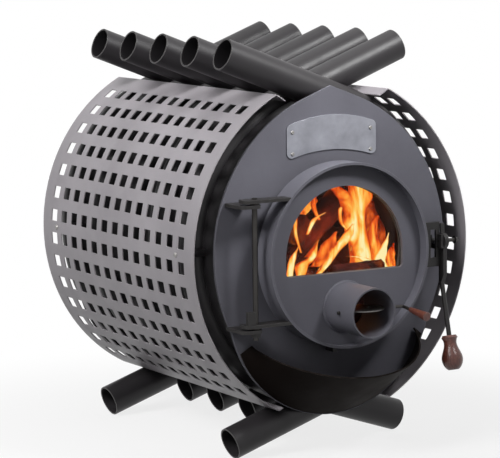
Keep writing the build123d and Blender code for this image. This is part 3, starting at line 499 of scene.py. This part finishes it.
def make_flame(name, points, widths, seed, mat, depth=0.34, heat=1.0):
    """Tongue of fire: a flat tube along a path, hot in the middle and cool at its sides and tip."""
    path_points = smooth_path([fire_point(*p) for p in points], 7)
    count = len(path_points)
    verts, heats, rings = [], [], []
    around = 20
    for i, centre in enumerate(path_points):
        run = i / (count - 1)
        spot = run * (len(widths) - 1)
        low = min(int(spot), len(widths) - 2)
        blend = spot - low
        blend = blend * blend * (3 - 2 * blend)
        width = (widths[low] * (1 - blend) + widths[low + 1] * blend) * MM
        sway = noise.noise(Vector((seed * 3.7, run * 3.5, 0.0))) * 0.16
        centre = centre + Vector((width * sway * 2.0, width * sway, 0))
        turn_by = 0.5 * noise.noise(Vector((seed, run * 2.0, 5.0)))
        across = Vector((math.cos(turn_by), math.sin(turn_by), 0))
        inward = Vector((-math.sin(turn_by), math.cos(turn_by), 0))
        ring = []
        for k in range(around):
            turn = 2 * math.pi * k / around
            place = Vector((math.cos(turn) * 1.4 + seed, run * 5.5, math.sin(turn)))
            ragged = 1.0 + 0.24 * noise.noise(place)
            point = centre + across * (width * math.cos(turn) * ragged)
            point = point + inward * (width * depth * math.sin(turn))
            point = inside_drum(point, 244.0)
            side = abs(math.cos(turn)) ** 2.4
            heats.append(heat * (1.0 - 0.66 * side) * (1.0 - 0.30 * run ** 2.5))
            ring.append(len(verts))
            verts.append(point)
        rings.append(ring)
    faces = bridge(rings)
    faces.append(tuple(reversed(rings[0])))
    faces.append(tuple(rings[-1]))
    obj = new_piece(name, verts, faces, mat, "drum")
    layer = obj.data.attributes.new("burn", "FLOAT", "POINT")
    layer.data.foreach_set("value", heats)
    return obj


char = log_material("charred_wood")
coals = ember_material("coals")
BRIGHT = [(0.06, (0.20, 0.010, 0.003)), (0.26, (0.56, 0.045, 0.006)), (0.44, (0.90, 0.15, 0.014)),
          (0.62, (1.0, 0.36, 0.040)), (0.82, (1.0, 0.64, 0.14)), (1.0, (1.0, 0.85, 0.42))]
COOL = [(0.10, (0.035, 0.003, 0.002)), (0.34, (0.12, 0.010, 0.003)), (0.58, (0.36, 0.034, 0.006)),
        (0.80, (0.80, 0.13, 0.015)), (1.0, (1.0, 0.36, 0.05))]
hot_flame = flame_material("flame_bright", BRIGHT, 24.0, 1.0)
cool_flame = flame_material("flame_deep", COOL, 24.0, 0.9)

LOGS = [
    # one end and the other as x, depth and height, then the radius
    ((-95, 60, -150), (-85, 430, -150), 50),
    ((85, 40, -150), (95, 420, -148), 52),
    ((0, 60, -165), (5, 400, -160), 44),
    ((-120, 110, -75), (150, 150, -78), 42),
    ((-110, 300, -80), (120, 330, -78), 42),
    ((22, 34, -54), (128, 32, -50), 17),
    ((-62, 84, -34), (84, 92, 84), 27),
    ((120, 110, -20), (30, 330, -10), 36),
    ((-32, 56, 30), (-76, 190, 26), 29),
    ((-92, 60, -58), (16, 74, -64), 22),
]
for number, (start, end, radius) in enumerate(LOGS):
    make_log(f"log_{number + 1}", fire_point(*start), fire_point(*end), radius * MM, number * 1.7 + 0.4, char)

# the ash bed and the coals on it
bed_verts, bed_faces = [], []
columns, rows_count = 44, 78
BED_HALF, BED_START, BED_LENGTH, BED_WALL = 148, 12, 590, 252.0
for j in range(rows_count + 1):
    for i in range(columns + 1):
        x = -BED_HALF + 2 * BED_HALF * i / columns
        y = BED_START + BED_LENGTH * j / rows_count
        edge = min(1.0, (BED_HALF - abs(x)) / 26.0)
        z = -186 + 14 * edge + 9 * noise.noise(Vector((x * 0.021, y * 0.021, 3.3)))
        z += 3.5 * noise.noise(Vector((x * 0.09, y * 0.09, 8.1)))
        wall = -math.sqrt(max(0.0, BED_WALL ** 2 - (abs(x) + WALL_OFFSET) ** 2))
        bed_verts.append(fire_point(x, y, max(z, wall)))
for j in range(rows_count):
    for i in range(columns):
        corner = j * (columns + 1) + i
        bed_faces.append((corner, corner + 1, corner + columns + 2, corner + columns + 1))
new_piece("ash_bed", bed_verts, bed_faces, coals, "drum")

dice = random.Random(7)
coal_verts, coal_faces = [], []
unit = bmesh.new()
bmesh.ops.create_icosphere(unit, subdivisions=2, radius=1.0)
unit_verts = [v.co.copy() for v in unit.verts]
unit_faces = [[v.index for v in f.verts] for f in unit.faces]
unit.free()
for number in range(170):
    x = dice.uniform(-118, 118)
    y = dice.uniform(20, 560)
    size = dice.uniform(7, 19)
    stretch = Vector((dice.uniform(0.8, 1.5), dice.uniform(0.8, 1.3), dice.uniform(0.55, 0.9)))
    spin = Matrix.Rotation(dice.uniform(0, 6.28), 3, "Z") @ Matrix.Rotation(dice.uniform(-0.6, 0.6), 3, "X")
    centre = fire_point(x, y, -170 + 0.2 * size + 6 * noise.noise(Vector((x * 0.021, y * 0.021, 3.3))))
    first = len(coal_verts)
    for v in unit_verts:
        rough = 1.0 + 0.35 * noise.noise(v * 1.9 + Vector((number * 3.1, 0, 0)))
        local = Vector((v.x * stretch.x, v.y * stretch.y, v.z * stretch.z)) * size * MM * rough
        coal_verts.append(inside_drum(centre + spin @ local))
    coal_faces += [[first + k for k in face] for face in unit_faces]
new_piece("coal_lumps", coal_verts, coal_faces, coals, "drum", smooth=False)

FLAMES = [
    # points (x, depth, height), half widths, bright or not, heat
    ([(92, 50, -60), (97, 50, -31), (89, 50, -3), (82, 50, 27), (86, 50, 58), (94, 50, 83), (91, 50, 112),
      (87, 50, 136)], (30, 26, 24, 23, 27, 31, 27, 8), 1, 0.92),
    ([(70, 47, 4), (76, 47, 32), (70, 47, 62), (60, 47, 86), (40, 47, 106), (20, 47, 120)],
     (8, 14, 16, 17, 15, 5), 1, 0.72),
    ([(-14, 38, -60), (15, 38, -29), (35, 38, -6), (57, 38, 15), (71, 38, 37)], (6, 12, 13, 12, 3), 1, 1.05),
    ([(135, 37, -62), (131, 37, -33), (141, 37, -9), (150, 37, 14)], (17, 14, 7, 1), 1, 1.3),
    ([(125, 54, -46), (129, 54, -11), (122, 54, 20), (135, 54, 46)], (18, 15, 15, 6), 1, 0.62),
    ([(163, 46, -60), (160, 46, -32), (166, 46, -8)], (12, 11, 3), 1, 0.5),
    ([(-72, 38, -60), (-64, 38, -22), (-50, 38, 3)], (8, 7, 1), 1, 1.15),
    ([(-47, 40, -60), (-38, 40, -32), (-18, 40, -17), (-5, 40, 12)], (9, 14, 8, 1), 1, 0.95),
    ([(-40, 45, -10), (-50, 45, 20), (-52, 45, 46), (-46, 45, 62)], (2, 4, 4, 1), 1, 0.8),
    ([(-28, 42, 24), (-10, 42, 52), (12, 42, 62)], (4, 6, 2), 1, 0.95),
    ([(3, 50, 48), (-10, 50, 78), (0, 50, 104)], (4, 6, 3), 1, 0.62),
    ([(108, 41, -38), (82, 41, -27), (56, 41, -24)], (13, 8, 1), 1, 1.15),
    ([(4, 56, -40), (24, 56, -6), (44, 56, 22)], (16, 17, 4), 1, 0.45),
    ([(60, 44, 78), (46, 44, 64), (48, 44, 42), (60, 44, 26)], (2, 4, 4, 2), 1, 0.9),
    ([(-88, 62, -60), (-96, 66, -5), (-78, 66, 46), (-86, 66, 92)], (25, 26, 18, 4), 0, 0.85),
    ([(-40, 140, -60), (-30, 138, 0), (-52, 140, 50), (-40, 140, 98)], (34, 34, 24, 5), 0, 0.9),
    ([(60, 170, -60), (70, 168, 10), (50, 170, 60), (62, 170, 112)], (42, 38, 26, 6), 1, 0.6),
    ([(150, 130, -60), (165, 128, 5), (150, 130, 55), (160, 128, 100)], (44, 40, 30, 6), 0, 0.72),
    ([(205, 230, -60), (215, 228, 0), (205, 230, 60), (190, 228, 110)], (40, 40, 34, 8), 0, 0.6),
    ([(-110, 210, -70), (-100, 210, -10), (-116, 208, 40), (-100, 210, 84)], (30, 28, 18, 4), 0, 0.9),
    ([(0, 290, -60), (-10, 288, 5), (12, 290, 60)], (46, 36, 6), 0, 0.95),
    ([(100, 300, -60), (110, 298, 0), (92, 300, 54)], (36, 30, 5), 0, 0.9),
]
for number, (points, widths, is_bright, heat) in enumerate(FLAMES):
    flame_mat = hot_flame if is_bright else cool_flame
    make_flame(f"flame_{number + 1}", points, widths, number * 1.31 + 0.2, flame_mat, heat=heat)

# glow of the fire on the inside of the drum
glow = bpy.data.lights.new("fire_glow", "SPOT")
glow.energy = 3.4
glow.color = (1.0, 0.13, 0.03)
glow.shadow_soft_size = 0.06
glow.spot_size = math.radians(160)
glow.spot_blend = 0.4
glow_spot = bpy.data.objects.new("fire_glow", glow)
glow_spot.location = fire_point(30, 24, 20)
glow_spot.rotation_euler = (math.radians(90), 0, 0)
bpy.context.scene.collection.objects.link(glow_spot)


def loop_tube(name, centres, normals, profile, mat, body, closed=True):
    """Sweep a profile of (outward, forward) offsets in metres along points with their outward directions."""
    verts, rings = [], []
    ahead = Vector((0, -1, 0))
    for centre, outward in zip(centres, normals):
        ring = []
        for out, front in profile:
            ring.append(len(verts))
            verts.append(centre + outward * out + ahead * front)
        rings.append(ring)
    return new_piece(name, verts, bridge(rings, closed), mat, body)


# rope seal: three strands laid round each other in the door's groove
seal_low, seal_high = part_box("door_seal")
seal_radius = (seal_high.x - seal_low.x) / 2 - 6.0 * MM
seal_centre = Vector((0, (seal_low.y + seal_high.y) / 2, (seal_low.z + seal_high.z) / 2))
half_depth = (seal_high.y - seal_low.y) / 2 - 0.1 * MM
rope_verts, rope_faces = [], []
STRANDS, TURNS, STEPS, SIDES = 3, 30, 720, 10
for strand in range(STRANDS):
    rings = []
    for k in range(STEPS):
        along = 2 * math.pi * k / STEPS
        outward = Vector((math.cos(along), 0, math.sin(along)))
        lay = along * TURNS + 2 * math.pi * strand / STRANDS
        middle_out = 2.7 * MM * math.cos(lay)
        middle_front = (half_depth - 2.9 * MM) * math.sin(lay)
        ring = []
        for side in range(SIDES):
            turn = 2 * math.pi * side / SIDES
            out = seal_radius + middle_out + 3.1 * MM * math.cos(turn)
            front = middle_front + 2.8 * MM * math.sin(turn)
            ring.append(len(rope_verts))
            rope_verts.append(seal_centre + outward * out + Vector((0, -front, 0)))
        rings.append(ring)
    rope_faces += bridge(rings, True)
seal = new_piece("rope_seal", rope_verts, rope_faces, seal_rope, "door")
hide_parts("door_seal")

# woven tape between the glass and the disc
gasket_low, gasket_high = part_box("glass_gasket")
tape_radius = (gasket_high.x - gasket_low.x) / 2
tape_half = (gasket_high.y - gasket_low.y) / 2
tape_middle = Vector((0, (gasket_low.y + gasket_high.y) / 2, DOOR_Z))
sill = gasket_low.z - DOOR_Z
tape_points, tape_normals = [], []
ARC = 72
for k in range(ARC + 1):
    turn = math.pi * k / ARC
    way = Vector((math.cos(turn), 0, math.sin(turn)))
    tape_points.append(tape_middle + way * (tape_radius - 4 * MM))
    tape_normals.append(way)
for corner_x in (-1, 1):
    corner = tape_middle + Vector((corner_x * (tape_radius - 4 * MM), 0, sill + 4 * MM))
    tape_points.append(corner)
    tape_normals.append(Vector((corner_x, 0, -1)))
tape_profile = [
    (-4.0, 0.45), (-3.4, 1.0), (3.4, 1.0), (4.0, 0.45),
    (4.0, -0.45), (3.4, -1.0), (-3.4, -1.0), (-4.0, -0.45),
]
tape = loop_tube("gasket_tape", tape_points, tape_normals,
                 [(a * MM, b * tape_half) for a, b in tape_profile], seal_rope, "door")
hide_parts("glass_gasket")


def weld_ring(name, centre, radius, size, body, mat, count=360, ripples=70):
    """Fillet weld round a tube that stands on a plate facing forward or back. A negative size faces back."""
    verts, rings = [], []
    ahead = Vector((0, -1 if size > 0 else 1, 0))
    size = abs(size)
    for k in range(count):
        turn = 2 * math.pi * k / count
        way = Vector((math.cos(turn), 0, math.sin(turn)))
        ripple = 1.0 + 0.10 * abs(math.sin(turn * ripples / 2)) + 0.10 * noise.noise(way * 6.0)
        ring = []
        for out, front in ((-0.6, -0.1), (-0.5, 0.95), (0.12, 0.78), (0.58, 0.45), (0.85, 0.0), (0.7, -0.1)):
            ring.append(len(verts))
            verts.append(centre + way * (radius + out * size * ripple) + ahead * (front * size * ripple))
        rings.append(ring)
    return new_piece(name, verts, bridge(rings, True), mat, body)


spout_low, spout_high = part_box("air_spout")
flue_low, flue_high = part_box("flue_collar")
disc_low, disc_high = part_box("door_disc")
weld_ring("spout_weld", Vector((0, disc_low.y, (spout_low.z + spout_high.z) / 2)),
          (spout_high.x - spout_low.x) / 2, 3.4 * MM, "door", front_paint)
weld_ring("flue_weld", Vector((0, flue_low.y, (flue_low.z + flue_high.z) / 2)),
          (flue_high.x - flue_low.x) / 2, -4.0 * MM, "drum", body_paint)


# camera at the photograph's place
YAW, PITCH, ROLL = math.radians(30.392), math.radians(7.339), math.radians(-0.661)
FOCAL_PIXELS, IMAGE_WIDTH = 2501.7, 500.0
forward = Vector((math.sin(YAW) * math.cos(PITCH), math.cos(YAW) * math.cos(PITCH), -math.sin(PITCH)))
right = Vector((math.cos(YAW), -math.sin(YAW), 0.0))
up = right.cross(forward)
cam_right = right * math.cos(ROLL) + up * math.sin(ROLL)
cam_up = up * math.cos(ROLL) - right * math.sin(ROLL)
lens = bpy.data.cameras.new("camera")
lens.sensor_width = 36.0
lens.lens = lens.sensor_width * FOCAL_PIXELS / IMAGE_WIDTH
lens.clip_start = 0.1
lens.clip_end = 60.0
camera = bpy.data.objects.new("camera", lens)
camera.matrix_world = Matrix((
    (cam_right.x, cam_up.x, -forward.x, -2.45096),
    (cam_right.y, cam_up.y, -forward.y, FACE + 0.045 - 3.92454),
    (cam_right.z, cam_up.z, -forward.z, AXIS + 0.62885),
    (0, 0, 0, 1),
))
bpy.context.scene.collection.objects.link(camera)
bpy.context.scene.camera = camera


def area_light(name, place, target, size, power, spread=180):
    data = bpy.data.lights.new(name, "AREA")
    data.shape = "RECTANGLE"
    data.size, data.size_y = size
    data.energy = power
    data.spread = math.radians(spread)
    obj = bpy.data.objects.new(name, data)
    obj.location = place
    obj.rotation_mode = "QUATERNION"
    obj.rotation_quaternion = (Vector(target) - Vector(place)).to_track_quat("-Z", "Y")
    bpy.context.scene.collection.objects.link(obj)


area_light("key", (0.55, -1.25, 1.75), (0.02, -0.25, 0.84), (0.5, 0.5), 2.6, spread=45)
area_light("fill_left", (-2.6, -0.9, 2.6), (-0.22, -0.05, 0.72), (1.4, 1.2), 10.5, spread=60)
area_light("top", (-0.3, 0.5, 3.0), (0, 0.1, 0.4), (2.2, 2.2), 16)

world = bpy.data.worlds.new("studio")
bpy.context.scene.world = world
world.use_nodes = True
sky = world.node_tree
sky.nodes.clear()


def seen_rays(tree):
    """1 for the rays by which the camera, metal and glass see the background, 0 for those that light."""
    path = tree.nodes.new("ShaderNodeLightPath")
    seen = math_node(tree, "MAXIMUM", path.outputs["Is Camera Ray"], path.outputs["Is Transmission Ray"])
    return math_node(tree, "MAXIMUM", seen, path.outputs["Is Glossy Ray"])


out = sky.nodes.new("ShaderNodeOutputWorld")
white = sky.nodes.new("ShaderNodeBackground")
soft = sky.nodes.new("ShaderNodeBackground")
choose = sky.nodes.new("ShaderNodeMixShader")
white.inputs["Color"].default_value = (1, 1, 1, 1)
white.inputs["Strength"].default_value = 1.0
soft.inputs["Color"].default_value = (1, 1, 1, 1)
soft.inputs["Strength"].default_value = 0.17
link(sky, seen_rays(sky), choose.inputs[0])
link(sky, soft.outputs[0], choose.inputs[1])
link(sky, white.outputs[0], choose.inputs[2])
link(sky, choose.outputs[0], out.inputs["Surface"])

view = bpy.context.scene.view_settings
view.view_transform = "Standard"

# floor
floor_mesh = bpy.data.meshes.new("floor")
floor_mesh.from_pydata([(-14, -14, 0), (14, -14, 0), (14, 14, 0), (-14, 14, 0)], [], [(0, 1, 2, 3)])
floor = bpy.data.objects.new("floor", floor_mesh)
floor.location.z = -0.0002
bpy.context.scene.collection.objects.link(floor)
floor_mat, tree, shader = material("floor_white", roughness=0.9)
shader.inputs["Specular IOR Level"].default_value = 0.0
seen = seen_rays(tree)
link(tree, mix(tree, seen, grey(0.18), grey(0.90)), shader.inputs["Base Color"])
# the floor shows as white, and near the object its shadow shows on it
place = tree.nodes.new("ShaderNodeTexCoord")
distance = tree.nodes.new("ShaderNodeVectorMath")
distance.operation = "LENGTH"
link(tree, place.outputs["Object"], distance.inputs[0])
fade = tree.nodes.new("ShaderNodeMapRange")
fade.interpolation_type = "SMOOTHSTEP"
fade.inputs["From Min"].default_value = 0.40
fade.inputs["From Max"].default_value = 1.0
fade.inputs["To Min"].default_value = 0.80
fade.inputs["To Max"].default_value = 1.0
link(tree, distance.outputs["Value"], fade.inputs["Value"])
glowing = tree.nodes.new("ShaderNodeEmission")
glowing.inputs["Color"].default_value = (1, 1, 1, 1)
glowing.inputs["Strength"].default_value = 1.0
both = tree.nodes.new("ShaderNodeMixShader")
link(tree, math_node(tree, "MULTIPLY", seen, fade.outputs["Result"]), both.inputs[0])
link(tree, shader.outputs[0], both.inputs[1])
link(tree, glowing.outputs[0], both.inputs[2])
link(tree, both.outputs[0], tree.nodes["Material Output"].inputs["Surface"])
floor_mesh.materials.append(floor_mat)
